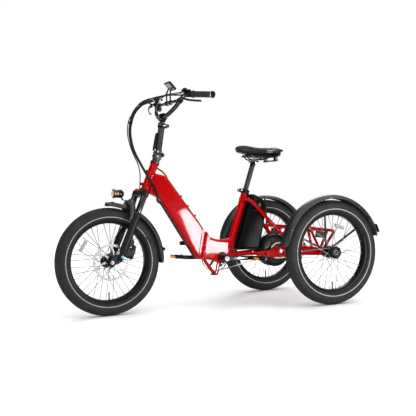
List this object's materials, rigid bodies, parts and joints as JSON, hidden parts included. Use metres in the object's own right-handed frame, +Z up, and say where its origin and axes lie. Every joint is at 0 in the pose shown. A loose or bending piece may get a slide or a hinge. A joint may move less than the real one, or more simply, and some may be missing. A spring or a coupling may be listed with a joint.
{
  "type": "electric tricycle",
  "caption": "Adult tricycle with a low folding step-through frame, sprung fork, hub motor, battery behind the seat tube and spoked wheels with wide tyres.",
  "frame": {"origin": "on the ground, under the middle of the overall length and width", "axes": "+Z up, the front wheel is towards -Y, the rider's left is +X"},
  "size_m": [0.787, 1.628, 1.1528],
  "materials": {
    "red_paint": "gloss",
    "black_paint": "satin",
    "black_alloy": "satin",
    "tyre_rubber": "matte",
    "grip_rubber": "matte",
    "saddle_cover": "satin",
    "black_plastic": "matte",
    "gloss_plastic": "gloss",
    "bright_alloy": "polished",
    "steel": "brushed",
    "brass_steel": "satin",
    "clear_lens": "gloss",
    "red_plastic": "gloss",
    "cable_cover": "matte"
  },
  "bodies": {
    "rear_frame": {"rear_frame": "red_paint", "rear_carriage": "red_paint", "seat_clamp": "black_alloy", "battery": "black_plastic", "motor_axle": "bright_alloy", "drive_chain": "steel", "axle_chain": "steel", "mudguard_left": "gloss_plastic", "mudguard_right": "gloss_plastic", "tail_reflector_left": "red_plastic", "tail_reflector_right": "red_plastic"},
    "front_frame": {"front_frame": "red_paint", "harness": "cable_cover"},
    "frame_latch": {"frame_latch": "black_plastic"},
    "steerer": {"fork_crown": "black_alloy", "stem_stub": "black_alloy"},
    "fork_lowers": {"fork_lowers": "black_alloy", "front_axle": "bright_alloy", "front_caliper": "black_alloy", "front_mudguard": "gloss_plastic", "headlight": "black_plastic", "headlight_lens": "clear_lens", "brake_hose": "cable_cover"},
    "front_wheel": {"front_tyre": "tyre_rubber", "front_rim": "black_alloy", "front_hub": "black_alloy", "front_rotor": "steel"},
    "preload_knob": {"preload_knob": "red_plastic"},
    "stem_column": {"stem_column": "black_alloy"},
    "stem_latch": {"stem_latch": "black_alloy"},
    "stem_release": {"stem_release": "bright_alloy"},
    "handlebar": {"stem_post": "black_alloy", "handlebar": "black_alloy", "grip_left": "grip_rubber", "grip_right": "grip_rubber", "control_left": "black_plastic", "control_right": "black_plastic", "display": "black_plastic"},
    "brake_lever_left": {"brake_lever_left": "black_alloy"},
    "brake_lever_right": {"brake_lever_right": "black_alloy"},
    "horn_button": {"horn_button": "red_plastic"},
    "throttle_lever": {"throttle_lever": "black_plastic"},
    "seat": {"seat_post": "black_alloy", "saddle": "saddle_cover", "saddle_base": "black_plastic"},
    "seat_release": {"seat_release": "bright_alloy"},
    "motor": {"motor_shell": "black_paint", "motor_cassette": "brass_steel"},
    "cranks": {"crank_right": "black_alloy", "crank_left": "black_alloy"},
    "pedal_left": {"pedal_left": "black_plastic"},
    "pedal_right": {"pedal_right": "black_plastic"},
    "rear_left_wheel": {"rear_left_tyre": "tyre_rubber", "rear_left_rim": "black_alloy", "rear_left_hub": "black_alloy", "axle_shaft": "steel"},
    "rear_right_wheel": {"rear_right_tyre": "tyre_rubber", "rear_right_rim": "black_alloy", "rear_right_hub": "black_alloy", "stub_axle": "steel"}
  },
  "joints": [
    {"name": "frame_fold", "type": "hinge", "parent": "rear_frame", "child": "front_frame", "pos_m": [0.039, -0.03975, 0.317], "axis": [0, 0.2051, 0.9787], "range_deg": [0, 90]},
    {"name": "frame_latch_swing", "type": "hinge", "parent": "front_frame", "child": "frame_latch", "pos_m": [-0.039, -0.0369, 0.3306], "axis": [0, -0.2051, -0.9787], "range_deg": [0, 110]},
    {"name": "steering", "type": "hinge", "parent": "front_frame", "child": "steerer", "pos_m": [0, -0.3467, 0.6052], "axis": [0, 0.4047, 0.9145], "range_deg": [-45, 45], "deforming": ["harness", "brake_hose"]},
    {"name": "fork_travel", "type": "slide", "parent": "steerer", "child": "fork_lowers", "axis": [0, 0.4047, 0.9145], "range_m": [0, 0.04], "stiffness_N_per_m": 12000, "springref_m": -0.02},
    {"name": "preload_knob_turn", "type": "hinge", "parent": "steerer", "child": "preload_knob", "pos_m": [-0.066, -0.3595, 0.61086], "axis": [0, 0.4047, 0.9145], "range_deg": [0, 90]},
    {"name": "front_wheel_spin", "type": "hinge", "parent": "fork_lowers", "child": "front_wheel", "pos_m": [0, -0.549, 0.265], "axis": [1, 0, 0], "continuous": true},
    {"name": "stem_fold", "type": "hinge", "parent": "steerer", "child": "stem_column", "pos_m": [0, -0.24175, 0.7807], "axis": [1, 0, 0], "range_deg": [-100, 0]},
    {"name": "stem_latch_swing", "type": "hinge", "parent": "stem_column", "child": "stem_latch", "pos_m": [0, -0.28647, 0.81127], "axis": [1, 0, 0], "range_deg": [0, 100]},
    {"name": "stem_release_swing", "type": "hinge", "parent": "stem_column", "child": "stem_release", "pos_m": [0.023, -0.21763, 0.92878], "axis": [0, 0.1805, 0.9836], "range_deg": [0, 120]},
    {"name": "stem_height", "type": "slide", "parent": "stem_column", "child": "handlebar", "axis": [0, 0.1805, 0.9836], "range_m": [0, 0.06]},
    {"name": "brake_left_pull", "type": "hinge", "parent": "handlebar", "child": "brake_lever_left", "pos_m": [0.207, -0.213, 1.052], "axis": [0, 0, 1], "range_deg": [0, 12], "stiffness_Nm_per_rad": 1.5},
    {"name": "brake_right_pull", "type": "hinge", "parent": "handlebar", "child": "brake_lever_right", "pos_m": [-0.207, -0.213, 1.052], "axis": [0, 0, -1], "range_deg": [0, 12], "stiffness_Nm_per_rad": 1.5},
    {"name": "horn_press", "type": "slide", "parent": "handlebar", "child": "horn_button", "axis": [0, 1, 0], "range_m": [0, 0.002], "stiffness_N_per_m": 800},
    {"name": "throttle_turn", "type": "hinge", "parent": "handlebar", "child": "throttle_lever", "pos_m": [-0.1658, -0.191, 1.09], "axis": [1, 0, 0], "range_deg": [-25, 0], "stiffness_Nm_per_rad": 0.3},
    {"name": "seat_height", "type": "slide", "parent": "rear_frame", "child": "seat", "axis": [0, 0.3355, 0.9421], "range_m": [-0.06, 0.06]},
    {"name": "seat_release_swing", "type": "hinge", "parent": "rear_frame", "child": "seat_release", "pos_m": [-0.023, 0.19463, 0.59322], "axis": [0, 0.3355, 0.9421], "range_deg": [0, 120]},
    {"name": "motor_spin", "type": "hinge", "parent": "rear_frame", "child": "motor", "pos_m": [0, 0.381, 0.265], "axis": [1, 0, 0], "continuous": true},
    {"name": "rear_left_wheel_spin", "type": "hinge", "parent": "rear_frame", "child": "rear_left_wheel", "pos_m": [0.3475, 0.523, 0.265], "axis": [1, 0, 0], "continuous": true},
    {"name": "rear_right_wheel_spin", "type": "hinge", "parent": "rear_frame", "child": "rear_right_wheel", "pos_m": [-0.3475, 0.523, 0.265], "axis": [1, 0, 0], "continuous": true},
    {"name": "crank_spin", "type": "hinge", "parent": "rear_frame", "child": "cranks", "pos_m": [0, 0.06, 0.245], "axis": [1, 0, 0], "continuous": true},
    {"name": "pedal_left_spin", "type": "hinge", "parent": "cranks", "child": "pedal_left", "pos_m": [0.146, 0.2299, 0.23907], "axis": [1, 0, 0], "continuous": true},
    {"name": "pedal_right_spin", "type": "hinge", "parent": "cranks", "child": "pedal_right", "pos_m": [-0.146, -0.1099, 0.25093], "axis": [1, 0, 0], "continuous": true}
  ],
  "couplings": [
    {"joint": "motor_spin", "follows": "rear_left_wheel_spin", "ratio": 1}
  ]
}
